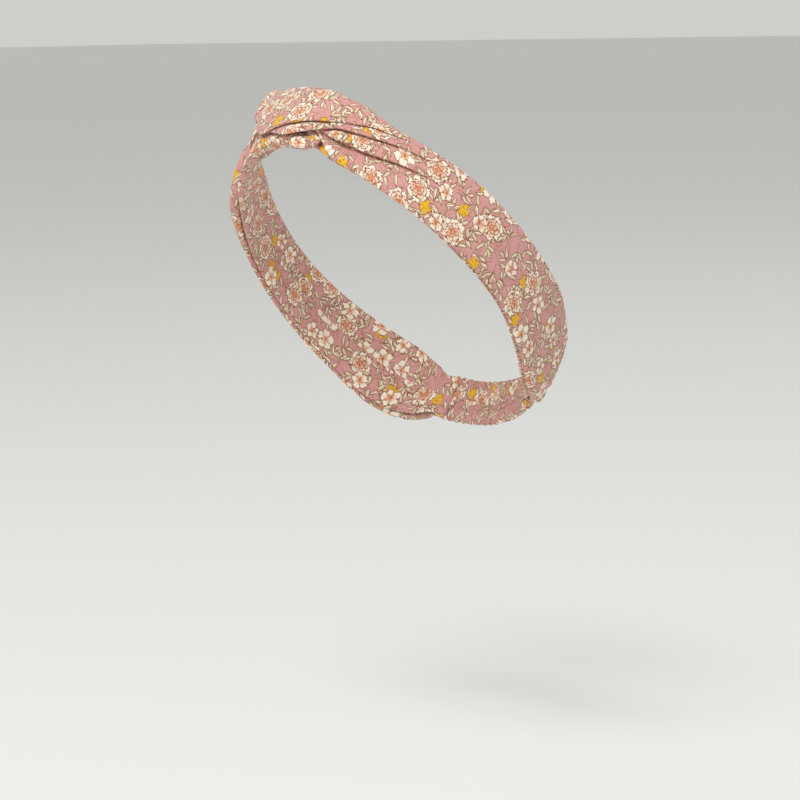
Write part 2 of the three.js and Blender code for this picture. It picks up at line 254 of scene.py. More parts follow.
# The left tube: outer leg, over the twist, round its apex, back under it and along the head.
leftTube = {
    "pivotAlong": -13.0, "pivotHeight": 9.5, "mouth": 206.0, "turnLength": 36.0,
    "wrinkle": 0.22, "gather": 0.54, "noiseSeed": 3, "streaksAt": 45, "streaksReach": 30,
    "printShift": (3.0, 40.0),
    # how far along the tube each stretch of rings begins, and how many rings it has
    "rings": [(0, 84), (108, 170), (250, 30), (300, 64)],
    # station along the band: lower edge, upper edge, middle height, thickness, crown, ridges
    "outerLeg": [
        (206, -12.2, 12.2, 6.0, 1.5, 1.0, 0.3), (202, -12.2, 12.2, 5.5, 2.0, 1.2, 0.35),
        (198, -12.4, 12.4, 5.0, 2.6, 0.9, 0.25), (194.5, -15.0, 15.6, 6.2, 4.6, 1.4, 0.55),
        (188, -19.0, 20.0, 7.2, 5.6, 1.6, 0.6), (179, -22.6, 22.2, 6.9, 5.0, 1.3, 0.4),
        (169, -23.6, 21.6, 6.2, 4.0, 1.0, 0.25), (155, -20.8, 22.2, 5.7, 3.2, 0.8, 0.12),
        (142, -18.9, 20.9, 5.4, 2.8, 0.7, 0.08), (128, -17.2, 19.8, 5.3, 2.6, 0.7, 0.05),
        (112, -17.6, 18.9, 5.3, 2.6, 0.7, 0.05), (95, -18.9, 18.4, 5.3, 2.6, 0.8, 0.05)],
    # station, height of the back, then place and height of each front point from the lower edge up
    "twistSide": [
        (80, 4.0, [-19.4, 4.6, -18.8, 5.9, -12.6, 6.9, -2.0, 6.9, 1.0, 6.6, 1.5, 7.2, 5.0, 7.7, 9.5, 7.4,
            10.0, 7.7, 11.5, 7.8, 12.9, 7.6, 13.5, 7.7, 14.5, 7.6, 15.6, 7.3, 16.6, 6.8, 17.2, 6.0, 17.4,
            5.3]),
        (64, 4.0, [-19.7, 4.6, -19.1, 5.9, -12.6, 6.8, -4.0, 6.0, -0.3, 5.3, -1.7, 7.3, 2.5, 8.7, 7.8, 7.7,
            7.1, 8.9, 10.0, 9.4, 12.1, 8.9, 12.3, 9.2, 13.3, 9.1, 14.4, 8.7, 15.5, 7.8, 16.1, 6.5, 16.2,
            5.5]),
        (54, 4.1, [-18.8, 4.6, -18.2, 5.9, -12.5, 6.6, -7.2, 5.7, -2.6, 4.9, -4.6, 7.4, 0.2, 9.3, 5.6, 7.9,
            4.0, 9.7, 7.4, 10.6, 10.0, 9.5, 9.1, 10.5, 12.2, 10.8, 13.6, 10.3, 14.9, 9.1, 15.7, 7.5, 15.8,
            6.2]),
        (46, 4.1, [-17.9, 4.5, -17.3, 5.8, -12.6, 6.4, -8.4, 5.5, -3.6, 4.6, -5.8, 7.5, -1.8, 9.7, 3.8, 8.0,
            1.8, 10.4, 5.6, 11.6, 8.6, 9.9, 6.9, 12.0, 11.0, 12.8, 13.2, 12.4, 15.6, 11.1, 17.6, 8.9, 18.3,
            7.0]),
        (38, 4.2, [-15.9, 4.6, -15.3, 5.8, -11.8, 6.4, -8.6, 5.6, -3.6, 4.6, -5.8, 7.8, -2.8, 10.2, 2.4,
            8.4, 0.0, 11.2, 3.0, 12.7, 5.6, 10.8, 3.0, 13.6, 8.8, 15.0, 12.6, 15.0, 16.6, 13.5, 19.8, 10.8,
            21.2, 8.6]),
        (32.5, 5.0, [-12.4, 5.4, -11.8, 6.7, -9.6, 7.3, -7.4, 6.6, -3.0, 5.6, -5.2, 8.6, -3.8, 10.8, 1.0,
            9.2, -1.8, 12.4, -0.2, 13.8, 2.8, 12.0, 0.0, 15.0, 5.8, 16.7, 10.4, 17.2, 15.0, 16.0, 18.8,
            13.4, 20.0, 11.2]),
        (28.5, 8.0, [-8.6, 8.2, -8.3, 9.1, -7.4, 9.5, -6.2, 9.0, -3.6, 8.4, -4.8, 9.6, -4.4, 10.6, -2.0,
            9.9, -5.2, 12.9, -3.2, 14.5, 0.4, 12.9, -2.2, 15.7, 5.2, 17.8, 10.4, 18.3, 15.4, 17.1, 19.6,
            14.4, 20.8, 12.4]),
        (25, 12.0, [-6.0, 12.2, -6.1, 12.7, -5.5, 13.0, -4.7, 12.9, -3.6, 12.6, -3.6, 13.0, -3.0, 13.2,
            -2.4, 13.3, -9.2, 14.0, -5.6, 15.5, -1.6, 14.3, -4.0, 16.4, 4.8, 18.5, 10.4, 18.9, 16.0, 17.7,
            20.4, 15.4, 21.6, 13.5]),
        (20, 13.7, [-8.6, 14.1, -8.9, 14.5, -8.2, 14.7, -7.2, 14.7, -6.0, 14.5, -5.6, 14.7, -5.2, 14.8,
            -5.4, 15.0, -12.6, 14.4, -8.8, 16.0, -4.4, 15.1, -6.4, 16.9, 4.0, 18.9, 10.2, 19.2, 16.2, 18.4,
            20.9, 16.5, 22.3, 14.7]),
        (15, 13.7, [-10.6, 14.1, -10.9, 14.5, -10.0, 14.7, -9.0, 14.7, -8.0, 14.5, -7.6, 14.7, -7.2, 14.8,
            -7.4, 15.0, -14.6, 14.2, -11.0, 15.8, -6.0, 15.1, -8.3, 16.9, 2.5, 19.1, 9.3, 19.6, 16.0, 18.9,
            21.4, 17.0, 23.0, 14.9]),
        (8, 13.7, [-8.4, 14.0, -8.8, 14.3, -8.0, 14.5, -7.2, 14.5, -6.6, 14.4, -6.2, 14.5, -5.8, 14.6, -6.2,
            14.8, -12.4, 13.9, -11.2, 14.8, -8.2, 14.9, -11.0, 15.8, 0.0, 18.8, 8.3, 19.8, 16.0, 19.4, 22.4,
            17.5, 24.3, 15.1]),
        (2, 13.7, [-6.4, 14.0, -6.8, 14.2, -6.2, 14.4, -5.6, 14.4, -5.2, 14.3, -5.0, 14.4, -4.8, 14.5, -5.2,
            14.6, -9.4, 13.9, -8.2, 14.5, -7.0, 14.8, -12.2, 14.5, -4.0, 17.8, 7.0, 19.7, 16.0, 19.8, 23.2,
            17.9, 25.3, 15.3]),
        (-4, 13.7, [-4.0, 14.0, -4.3, 14.2, -3.8, 14.4, -3.3, 14.4, -3.0, 14.3, -2.8, 14.4, -2.6, 14.5,
            -3.0, 14.6, -6.6, 14.1, -6.0, 14.5, -5.2, 14.7, -8.6, 14.1, -3.6, 17.0, 7.5, 19.6, 16.8, 20.0,
            24.2, 18.2, 26.2, 15.6]),
        (-10, 13.7, [0.6, 14.0, 0.3, 14.2, 0.8, 14.4, 1.3, 14.4, 1.6, 14.3, 1.8, 14.4, 2.0, 14.5, 1.6, 14.6,
            -2.4, 14.2, -1.8, 14.5, -0.6, 14.7, -3.4, 14.1, -0.4, 16.8, 9.4, 19.6, 18.0, 20.1, 24.9, 18.4,
            26.8, 15.7]),
    ],
    # turn angle round the apex: lower edge, upper edge, inner height, outer height, crown, tilt
    "turn": [
        (0, 3.2, 26.8, 4.6, 9.7, 1.0, 1.2), (16, 6.4, 26.0, 5.6, 11.2, 1.0, 1.1),
        (31, 8.8, 24.6, 6.8, 11.6, 0.9, 0.9), (47, 9.4, 21.2, 7.4, 10.8, 0.8, 0.5),
        (60, 6.0, 15.0, 7.6, 10.0, 0.6, 0.2), (72, -0.8, 7.6, 7.5, 9.6, 0.4, 0.0),
        (84, -5.6, 6.4, 7.6, 10.0, 0.3, 0.0), (100, -6.3, 6.3, 8.2, 11.2, 0.3, 0.0),
        (125, -6.3, 7.6, 7.4, 10.6, 0.3, 0.0), (150, -6.6, 11.0, 6.0, 9.4, 0.2, 0.0),
        (180, -7.4, 13.0, 5.2, 8.3, 0.2, 0.0)],
    # station: lower edge, upper edge, middle height, thickness, for the leg that lies on the head
    "innerLeg": [
        (-4, -6.6, 13.4, 2.8, 3.0), (10, -6.0, 14.0, 2.9, 3.0), (24, -8.6, 15.4, 2.8, 2.8),
        (38, -15.2, 15.6, 2.5, 2.5), (60, -17.4, 14.6, 2.35, 2.4), (95, -18.0, 17.6, 2.35, 2.4),
        (130, -16.8, 19.2, 2.35, 2.4), (155, -19.8, 21.2, 2.35, 2.4), (170, -22.0, 20.4, 2.35, 2.4),
        (186, -18.0, 17.0, 2.35, 2.4), (196, -12.4, 12.4, 1.9, 1.9), (203, -11.2, 11.2, 0.75, 0.7),
        (206, -11.0, 11.0, 0.66, 0.6)],
}


def leftTubePoints(style):
    pivot, height = style["pivotAlong"], style["pivotHeight"]
    keys, sections, places = [], [], []   # places: where the section plane stands, and its turn

    def add(distance, rows, along, angle):
        keys.append(distance)
        sections.append(rows)
        places.append((along, angle))

    for along, *sizes in style["outerLeg"]:
        add(style["mouth"] - along, [(w, n - height) for w, n in flatTube(*sizes)], along, 0.0)
    for along, back, front in style["twistSide"]:
        rows = shapedTube(np.reshape(front, (-1, 2)), back)
        add(style["mouth"] - along, [(w, n - height) for w, n in rows], along, 0.0)
    start = style["mouth"] - pivot
    for angle, low, high, inner, outer, crown, tilt in style["turn"]:
        rows = flatTube(low, high, 0.5 * (inner + outer), outer - inner, crown, 0.25, tilt)
        add(start + style["turnLength"] * angle / 180, rows, pivot, math.radians(angle))
    after = start + style["turnLength"]
    for along, low, high, middle, thickness in style["innerLeg"]:
        rows = [(w, height - 2 * middle + n) for w, n in flatTube(low, high, middle, thickness, 0.0, 0.0)]
        add(after + along - pivot, rows, along, math.pi)

    (at0, count0), (at1, count1), (at2, count2), (at3, count3) = style["rings"]
    rings = np.concatenate([np.linspace(at0, at1, count0, endpoint=False),
                            np.linspace(at1, at2, count1, endpoint=False),
                            np.linspace(at2, at3, count2, endpoint=False), np.linspace(at3, keys[-1], count3)])
    controls = throughKeys(rings, keys, np.array(sections, float))
    place = throughKeys(rings, keys, np.array(places, float))
    section = roundSection(controls, sectionCounts)
    up, reach = section[..., 0], section[..., 1]
    along, angle = place[:, :1], place[:, 1:2]
    s = along - reach * np.sin(angle) + 0 * up
    n = height + reach * np.cos(angle)
    # the wrinkles fade out towards the edges and on the side against the head
    around = section.shape[1]
    onFront = np.zeros(around)
    onFront[sectionCounts[0]:sum(frontCounts) - frontCounts[-1]] = 1
    onFront = np.convolve(np.tile(onFront, 3), np.ones(7) / 7, "same")[around:2 * around]
    outerPart = 0.5 + 0.5 * np.cos(angle)
    n = n + onFront * outerPart * wrinkles(s, up, style)
    return onHead(s, n, up)


leftCloth = sewnTube("left_tube", leftTubePoints(leftTube), leftTube)
print("left tube", len(leftCloth.data.polygons))


# The right tube: its two legs draw in to thick strands that bend round inside the left tube's fold.
rightTube = {
    "wrinkle": 0.25, "gather": 0.54, "noiseSeed": 13, "streaksAt": -52, "streaksReach": 22,
    "foldDepth": 0.5, "foldsAt": -48, "foldsReach": 16, "printShift": (260.0, 15.0),
    "bunchFrom": 13, "bunchTo": 31,       # the rows of the path where the knot begins and ends
    "rings": (110, 150, 72),              # outer leg, knot and inner leg
    # station, up, height, width, thickness, crown, ridges
    "path": [
        (-206, 0, 6.0, 24.4, 1.5, 1.0, 0.3), (-202, 0, 5.5, 24.4, 2.0, 1.2, 0.35),
        (-198, 0, 5.0, 24.8, 2.6, 0.9, 0.25), (-194.5, -0.3, 6.6, 29.4, 4.6, 1.0, 0.55),
        (-188, -0.6, 7.4, 36.6, 5.6, 1.4, 0.6), (-179, -1.0, 6.9, 42.0, 5.0, 1.3, 0.4),
        (-169, -1.0, 6.2, 43.6, 4.0, 1.0, 0.25), (-155, 0.4, 5.7, 42.4, 3.2, 0.8, 0.12),
        (-142, 0.8, 5.4, 40.4, 2.8, 0.7, 0.08), (-112, 0.6, 5.3, 37.0, 2.6, 0.7, 0.06),
        (-84, 0.2, 5.6, 34.6, 3.0, 1.0, 0.12), (-66, 0.4, 7.0, 32.0, 4.8, 1.6, 0.4),
        (-55, 1.2, 8.0, 29.0, 6.0, 1.8, 0.7), (-45, 3.0, 8.5, 23.6, 6.4, 1.4, 0.8),
        (-37, 6.0, 8.9, 16.6, 6.6, 0.8, 0.7), (-29, 9.0, 9.2, 11.6, 6.8, 0.3, 0.4),
        (-18, 10.6, 9.4, 8.0, 7.0, 0.2, 0.3), (-4, 11.0, 9.4, 7.2, 7.0, 0.2, 0.3),
        (8, 10.6, 9.4, 7.4, 7.0, 0.2, 0.3), (14.6, 8.2, 9.4, 7.6, 7.0, 0.2, 0.3),
        (18.6, 4.0, 9.3, 7.8, 6.9, 0.2, 0.3), (20.6, 0, 8.8, 7.8, 6.4, 0.2, 0.3),
        (22.4, -4.2, 8.0, 8.0, 5.8, 0.2, 0.35), (24.0, -8.8, 7.6, 8.8, 5.4, 0.3, 0.4),
        (20.6, -12.0, 8.0, 9.0, 6.2, 0.3, 0.4), (10, -10.0, 8.8, 10.4, 7.0, 0.2, 0.4),
        (-4, -9.8, 8.4, 9.8, 6.6, 0.2, 0.3), (-18, -10.6, 6.4, 7.8, 5.2, 0.2, 0.3),
        (-29, -7.6, 4.9, 13.6, 4.4, 0.2, 0.3), (-37, -5.6, 3.6, 18.6, 3.4, 0.3, 0.3),
        (-45, -3.6, 3.0, 23.0, 2.7, 0.1, 0.1), (-54, -1.6, 2.5, 27.0, 2.4, 0, 0),
        (-66, -0.4, 2.4, 30.0, 2.4, 0, 0), (-84, 0.2, 2.35, 33.6, 2.4, 0, 0),
        (-112, 0.6, 2.35, 36.0, 2.4, 0, 0), (-142, 0.8, 2.35, 39.0, 2.4, 0, 0),
        (-158, 0.2, 2.35, 41.0, 2.4, 0, 0), (-172, -0.6, 2.35, 42.0, 2.4, 0, 0),
        (-186, -0.5, 2.35, 35.0, 2.4, 0, 0), (-196, 0, 1.9, 24.8, 1.9, 0, 0),
        (-203, 0, 0.75, 22.4, 0.7, 0, 0), (-206, 0, 0.66, 22.0, 0.6, 0, 0)],
}


def rightTubePoints(style):
    path = np.array(style["path"], float)
    keys = runningLength(np.linalg.norm(np.diff(path[:, :2], axis=0), axis=1))
    turnIn, turnOut = keys[style["bunchFrom"]], keys[style["bunchTo"]]
    outerRings, knotRings, innerRings = style["rings"]
    rings = np.concatenate([np.linspace(0, turnIn, outerRings, endpoint=False),
                            np.linspace(turnIn, turnOut, knotRings, endpoint=False),
                            np.linspace(turnOut, keys[-1], innerRings)])
    row = throughKeys(rings, keys, path)
    centre, width, thickness = row[:, :2], row[:, 3:4], row[:, 4:5]
    tangent = unit(np.gradient(centre, rings, axis=0))
    widthAxis = np.stack([-tangent[:, 1], tangent[:, 0]], axis=1)   # in the band's own plane
    shape = [flatTube(-0.5 * w, 0.5 * w, 0.0, t, crown, ridge) for w, t, crown, ridge in row[:, 3:7]]
    section = roundSection(np.array(shape, float), sectionCounts)
    flat, high = section[..., 0], section[..., 1]
    # a bunched strand is rounder than a flat leg, and pleated lengthwise
    bunch = np.clip((16 - width) / 8, 0, 1)
    around = section.shape[1]
    ring = 2 * np.pi * (np.arange(around) - sum(frontCounts) / 2) / around
    fold = 1 + 0.07 * np.cos(5 * ring + 0.02 * rings[:, None]) + 0.05 * np.cos(9 * ring + 1.3)
    flat = flat * (1 - bunch) + 0.5 * width * np.sin(ring) * fold * bunch
    high = high * (1 - bunch) + 0.5 * thickness * np.cos(ring) * fold * bunch
    s = centre[:, :1] + widthAxis[:, :1] * flat
    up = centre[:, 1:2] + widthAxis[:, 1:2] * flat
    n = row[:, 2:3] + high
    onFront = np.clip(high / np.maximum(0.4 * thickness, 0.2), 0, 1)
    outerPart = np.clip((turnOut - rings) / 20, 0, 1)[:, None]
    folds = softNoise(s / 30, up / 2.0, style["noiseSeed"] + 4, 2)
    folds = folds * np.exp(-((s - style["foldsAt"]) / style["foldsReach"]) ** 2)
    n = n + onFront * outerPart * (wrinkles(s, up, style) + style["foldDepth"] * folds)
    return onHead(s, n, up)


rightCloth = sewnTube("right_tube", rightTubePoints(rightTube), rightTube)
print("right tube", len(rightCloth.data.polygons))


# The casing: a narrow sleeve gathered up by the elastic inside it.
casing = {"from": 197.8, "to": 273.4, "width": 26.0, "thickness": 4.4, "middle": 3.25, "gather": 0.55,
          "gatherEvery": 3.6, "mouthLength": 4.6, "mouthWidth": 0.88, "mouthThickness": 0.26, "offHead": 1.02,
          "rings": 230, "around": 116, "wall": 0.4, "printShift": (520.0, 8.0)}


def casingPoints(style):
    s = np.linspace(style["from"], style["to"], style["rings"])[:, None]
    q = np.linspace(0, 1, style["around"] + 1)[None, :]
    spread = np.clip(np.minimum(s - style["from"], style["to"] - s) / style["mouthLength"], 0, 1)
    spread = spread * spread * (3 - 2 * spread)
    width = style["width"] * (style["mouthWidth"] + (1 - style["mouthWidth"]) * spread)
    width = width + 0.5 * np.sin(2 * np.pi * s / 4.1) * spread
    thick = style["thickness"] * (style["mouthThickness"] + (1 - style["mouthThickness"]) * spread)
    # a flat oval, begun at the middle of the side against the head
    straight = width - thick
    halfTurn = 0.5 * np.pi * thick
    d = q * (2 * straight + 2 * halfTurn)
    cut = [0.5 * straight, 0.5 * straight + halfTurn, 1.5 * straight + halfTurn, 1.5 * straight + 2 * halfTurn]
    bend1 = (d - cut[0]) / (0.5 * thick)
    bend2 = (d - cut[2]) / (0.5 * thick)
    parts = [d < cut[0], d < cut[1], d < cut[2], d < cut[3], d >= cut[3]]
    up = np.select(parts, [-d, -0.5 * straight - 0.5 * thick * np.sin(bend1), -0.5 * straight + (d - cut[1]),
                           0.5 * straight + 0.5 * thick * np.sin(bend2), 0.5 * straight - (d - cut[3])])
    flatSide = 0.5 * thick + 0 * d
    high = np.select(parts, [-flatSide, -0.5 * thick * np.cos(bend1), flatSide, 0.5 * thick * np.cos(bend2),
                             -flatSide])
    wander = softNoise(s / 9 + 0 * up, up / 7, 21, 2) * 2.2
    gathers = np.sin(2 * np.pi * s / style["gatherEvery"] + wander)
    gathers = gathers + 0.5 * np.sin(2 * np.pi * s / (0.61 * style["gatherEvery"]) - 1.4 * wander)
    outer = np.clip(high / (0.5 * thick), -0.35, 1)
    puff = style["gather"] * gathers * spread * np.abs(outer) ** 0.6 * np.sign(high)
    n = np.maximum(style["middle"] + 0.3 * (1 - spread) + high + puff, style["offHead"])
    s = s + 0.35 * softNoise(s / 3 + 0 * up, up / 3, 23, 2) * spread
    return onHead(s, n, up)


casingCloth = clothMesh("elastic_casing_cloth", casingPoints(casing), casing["around"] // 2,
                        casing["printShift"], casing["wall"])
print("casing", len(casingCloth.data.polygons))


# The elastic strip inside the casing: a knitted tape with lengthwise ribs.
elastic = {"from": 202.6, "to": 269.0, "width": 20.0, "thickness": 1.1, "middle": 3.25, "ribs": 16,
           "ribHeight": 0.1, "rings": 150, "around": 132}


def elasticPoints(style):
    s = np.linspace(style["from"], style["to"], style["rings"])[:, None]
    a = np.linspace(0, 2 * np.pi, style["around"] + 1)[None, :] + np.pi / 2
    across = np.sign(np.cos(a)) * np.abs(np.cos(a)) ** 0.8
    lift = np.sign(-np.sin(a)) * np.abs(np.sin(a)) ** 0.45
    up = 0.5 * style["width"] * across + 0 * s
    rib = style["ribHeight"] * np.abs(np.sin(np.pi * style["ribs"] * (across * 0.5 + 0.5)))
    n = style["middle"] + lift * (0.5 * style["thickness"] - style["ribHeight"] + rib) + 0.04 * np.sin(s * 5.0)
    return onHead(s, n, up)


def closeEnds(piece):
    bm = bmesh.new()
    bm.from_mesh(piece.data)
    ends = bmesh.ops.holes_fill(bm, edges=[e for e in bm.edges if e.is_boundary], sides=0)["faces"]
    bmesh.ops.triangulate(bm, faces=ends)
    faceOutwards(bm)
    bm.to_mesh(piece.data)
    bm.free()


elasticTape = clothMesh("elastic_tape", elasticPoints(elastic), elastic["around"] // 2, wall=0)
closeEnds(elasticTape)
print("elastic", len(elasticTape.data.polygons))


# Sewing thread: rows of short stitches, each a small rounded bar.
stitch = {"length": 1.7, "every": 2.5, "thickness": 0.42, "flatness": 0.85, "dip": 0.16,
          "joinAt": 197.9, "joinHalf": 8.0, "joinOut": 7.32, "seamOut": 0.62,
          "bandSeam": (49.5, 191.5, -6.0), "casingSeam": (204.6, 267.2, -5.0)}


def oneStitch():
    # a short bar with rounded ends that dip towards the cloth, along +Z and standing up along +Y
    bm = bmesh.new()
    bmesh.ops.create_cone(bm, cap_ends=True, segments=8, radius1=0.5, radius2=0.5, depth=1.0)
    rims = [e for e in bm.edges if abs(e.verts[0].co.z - e.verts[1].co.z) < 1e-6]
    bmesh.ops.bevel(bm, geom=rims, offset=0.2, segments=2, profile=0.5, affect="EDGES", material=-1)
    for v in bm.verts:
        v.co = Vector((v.co.x * stitch["thickness"], v.co.y * stitch["thickness"] * stitch["flatness"]
                       - stitch["dip"] * (2 * v.co.z) ** 2, v.co.z * stitch["length"])) * perMetre
    for f in bm.faces:
        f.smooth = True
    mesh = bpy.data.meshes.new("one_stitch")
    bm.to_mesh(mesh)
    bm.free()
    return mesh


def stitchRow(name, s, n, up, ahead):
    # stitches at the given stations; ahead is a small step along the row, as (s, up)
    centres = onHead(s, n, up)
    directions = unit(onHead(s + ahead[0], n, up + ahead[1]) - centres)
    normals = unit(onHead(s, n + 1, up) - centres)
    bar = oneStitch()
    bm = bmesh.new()
    for centre, direction, normal in zip(centres, directions, normals):
        side = unit(np.cross(normal, direction))
        before = len(bm.verts)
        bm.from_mesh(bar)
        bm.verts.ensure_lookup_table()
        turn = Matrix((side, np.cross(direction, side), direction)).transposed().to_4x4()
        bmesh.ops.transform(bm, matrix=Matrix.Translation(centre) @ turn, verts=bm.verts[before:])
    bmesh.ops.recalc_face_normals(bm, faces=bm.faces)
    bpy.data.meshes.remove(bar)
    return newPiece(name, bm)


def rowAlong(name, start, finish, up):
    count = max(2, int(abs(finish - start) / stitch["every"]))
    s = np.linspace(start, finish, count)
    return stitchRow(name, s, np.full(count, stitch["seamOut"]), np.full(count, up), (0.1, 0))


def rowAcross(name, station):
    half = stitch["joinHalf"]
    up = np.linspace(-half, half, int(2 * half / stitch["every"]) + 1)
    return stitchRow(name, np.full(len(up), station), np.full(len(up), stitch["joinOut"]), up, (0, 0.1))


leftJoin = rowAcross("left_join_thread", stitch["joinAt"])
rightJoin = rowAcross("right_join_thread", -stitch["joinAt"])
near, far, seamUp = stitch["bandSeam"]
leftSeam = rowAlong("left_tube_thread", near, far, seamUp)
rightSeam = rowAlong("right_tube_thread", -far, -near, seamUp)
casingSeam = rowAlong("casing_thread", *stitch["casingSeam"])
print("thread rows")


# Materials. Colours are given as a dyer's swatch and turned into the renderer's light values.
def swatch(r, g, b):
    return tuple(((c / 255 + 0.055) / 1.055) ** 2.4 for c in (r, g, b)) + (1.0,)


def addNode(tree, kind, **settings):
    made = tree.nodes.new(kind)
    for key, value in settings.items():
        setattr(made, key, value)
    return made


def plug(socket, value):
    if isinstance(value, bpy.types.NodeSocket):
        socket.id_data.links.new(value, socket)
    else:
        socket.default_value = value


def treeOf(*values):
    return next(v.id_data for v in values if isinstance(v, bpy.types.NodeSocket))


def sums(operation, *values):
    made = addNode(treeOf(*values), "ShaderNodeMath", operation=operation)
    for socket, value in zip(made.inputs, values):
        plug(socket, value)
    return made.outputs[0]


def plus(first, second):
    return sums("ADD", first, second)


def minus(first, second):
    return sums("SUBTRACT", first, second)


def times(first, second):
    return sums("MULTIPLY", first, second)


def unsigned(value):
    return sums("ABSOLUTE", value)


def vectors(operation, *values):
    made = addNode(treeOf(*values), "ShaderNodeVectorMath", operation=operation)
    for socket, value in zip(made.inputs, values):
        plug(socket, value)
    return made.outputs["Value" if operation == "LENGTH" else "Vector"]


def scaled(vector, amount):
    made = addNode(treeOf(vector), "ShaderNodeVectorMath", operation="SCALE")
    plug(made.inputs[0], vector)
    plug(made.inputs["Scale"], amount)
    return made.outputs["Vector"]


def spun(vector, angle):
    made = addNode(treeOf(vector), "ShaderNodeVectorRotate", rotation_type="Z_AXIS")
    plug(made.inputs["Vector"], vector)
    plug(made.inputs["Angle"], angle)
    return made.outputs[0]


def axesOf(vector):
    made = addNode(treeOf(vector), "ShaderNodeSeparateXYZ")
    plug(made.inputs[0], vector)
    return made.outputs[0], made.outputs[1]


def flatPoint(x, y):
    made = addNode(treeOf(x), "ShaderNodeCombineXYZ")
    plug(made.inputs[0], x)
    plug(made.inputs[1], y)
    return made.outputs[0]


def ramped(value, low, high, start=0.0, finish=1.0):
    made = addNode(treeOf(value), "ShaderNodeMapRange", interpolation_type="SMOOTHSTEP")
    labels = ("Value", "From Min", "From Max", "To Min", "To Max")
    for label, given in zip(labels, (value, low, high, start, finish)):
        plug(made.inputs[label], given)
    return made.outputs["Result"]


def mixed(tree, factor, first, second, blend="MIX"):
    made = addNode(tree, "ShaderNodeMix", data_type="RGBA", blend_type=blend)
    plug(made.inputs[0], factor)
    plug(made.inputs[6], first)
    plug(made.inputs[7], second)
    return made.outputs[2]


def cloudNoise(vector, scale, detail):
    made = addNode(treeOf(vector), "ShaderNodeTexNoise", noise_dimensions="2D")
    plug(made.inputs["Vector"], vector)
    made.inputs["Scale"].default_value = scale
    made.inputs["Detail"].default_value = detail
    return made.outputs


def newGroup(name, inputs, outputs):
    # inputs and outputs are given as words; a label that starts with * carries a vector
    tree = bpy.data.node_groups.new(name, "ShaderNodeTree")
    for labels, side in ((inputs, "INPUT"), (outputs, "OUTPUT")):
        for label in labels.split():
            kind = "NodeSocketVector" if label[0] == "*" else "NodeSocketFloat"
            tree.interface.new_socket(name=label.strip("*"), in_out=side, socket_type=kind)
    return tree, tree.nodes.new("NodeGroupInput").outputs, tree.nodes.new("NodeGroupOutput").inputs


def placeGroup(tree, group, **values):
    made = addNode(tree, "ShaderNodeGroup", node_tree=group)
    for name, value in values.items():
        plug(made.inputs[name], value)
    return made.outputs


def penLine(inside, width):
    # a drawn line along the place where inside passes through nothing
    return ramped(unsigned(inside), times(width, 0.6), width, 1.0, 0.0)


def buildScatter():
    # spreads motifs over the cloth and gives each its own turned axes
    tree, given, out = newGroup("scatteredMotif", "*Cloth Spacing Jitter *Shift",
                                "*Local Radius Angle Pick Pick2")
    fullTurn = 6.2832
    moved = vectors("ADD", given["Cloth"], given["Shift"])
    cells = scaled(moved, sums("DIVIDE", 1.0, given["Spacing"]))
    spots = addNode(tree, "ShaderNodeTexVoronoi", voronoi_dimensions="2D", feature="F1")
    plug(spots.inputs["Vector"], cells)
    spots.inputs["Scale"].default_value = 1.0
    plug(spots.inputs["Randomness"], given["Jitter"])
    local = scaled(vectors("SUBTRACT", cells, spots.outputs["Position"]), given["Spacing"])
    parts = addNode(tree, "ShaderNodeSeparateColor")
    plug(parts.inputs[0], spots.outputs["Color"])
    x, y = axesOf(spun(local, times(parts.outputs[0], fullTurn)))
    flat = flatPoint(x, y)
    plug(out["Local"], flat)
    plug(out["Radius"], vectors("LENGTH", flat))
    plug(out["Angle"], sums("ARCTAN2", y, x))
    plug(out["Pick"], parts.outputs[1])
    plug(out["Pick2"], parts.outputs[2])
    return tree


def buildBloom():
    # one row of petals: where it is filled, and its drawn outline
    tree, given, out = newGroup("petalRow", "Radius Angle Petals Size Notch Line Ragged", "Fill Outline")
    lobe = unsigned(sums("COSINE", times(given["Angle"], times(given["Petals"], 0.5))))
    rounded = sums("POWER", lobe, 0.55)
    ripple = sums("SINE", times(given["Angle"], times(given["Petals"], 3.0)))
    swell = times(rounded, plus(given["Notch"], times(ripple, given["Ragged"])))
    edge = times(given["Size"], plus(minus(1.0, given["Notch"]), swell))
    inside = minus(edge, given["Radius"])
    plug(out["Fill"], ramped(inside, -0.06, 0.06))
    rim = penLine(inside, given["Line"])
    # the lines between petals start part of the way out
    between = sums("DIVIDE", times(given["Radius"], 2.0), given["Petals"])
    parting = ramped(times(between, lobe), times(given["Line"], 0.5), given["Line"], 1.0, 0.0)
    parting = times(parting, ramped(inside, -0.05, 0.05))
    far = ramped(sums("DIVIDE", given["Radius"], given["Size"]), 0.22, 0.32)
    plug(out["Outline"], sums("MAXIMUM", rim, times(parting, far)))
    return tree


def buildLeaf():
    # one pointed leaf along a turned axis, with its outline, its vein and its shaded half
    tree, given, out = newGroup("pointedLeaf", "*Local Turn Start Length Width Line", "Fill Outline Shade")
    ahead, aside = axesOf(spun(given["Local"], given["Turn"]))
    halfLength = times(given["Length"], 0.5)
    fromMiddle = minus(minus(ahead, given["Start"]), halfLength)
    x = sums("DIVIDE", fromMiddle, halfLength)
    square = times(x, x)
    bent = plus(aside, times(square, 0.35))
    belly = times(minus(1.0, square), minus(1.0, times(x, 0.28)))
    inside = minus(times(belly, times(given["Width"], 0.5)), unsigned(bent))
    fill = ramped(inside, -0.06, 0.06)
    plug(out["Fill"], fill)
    vein = times(ramped(unsigned(bent), 0.05, 0.14, 0.7, 0.0), fill)
    plug(out["Outline"], sums("MAXIMUM", penLine(inside, given["Line"]), vein))
    plug(out["Shade"], times(fill, ramped(bent, -0.15, 0.15)))
    return tree


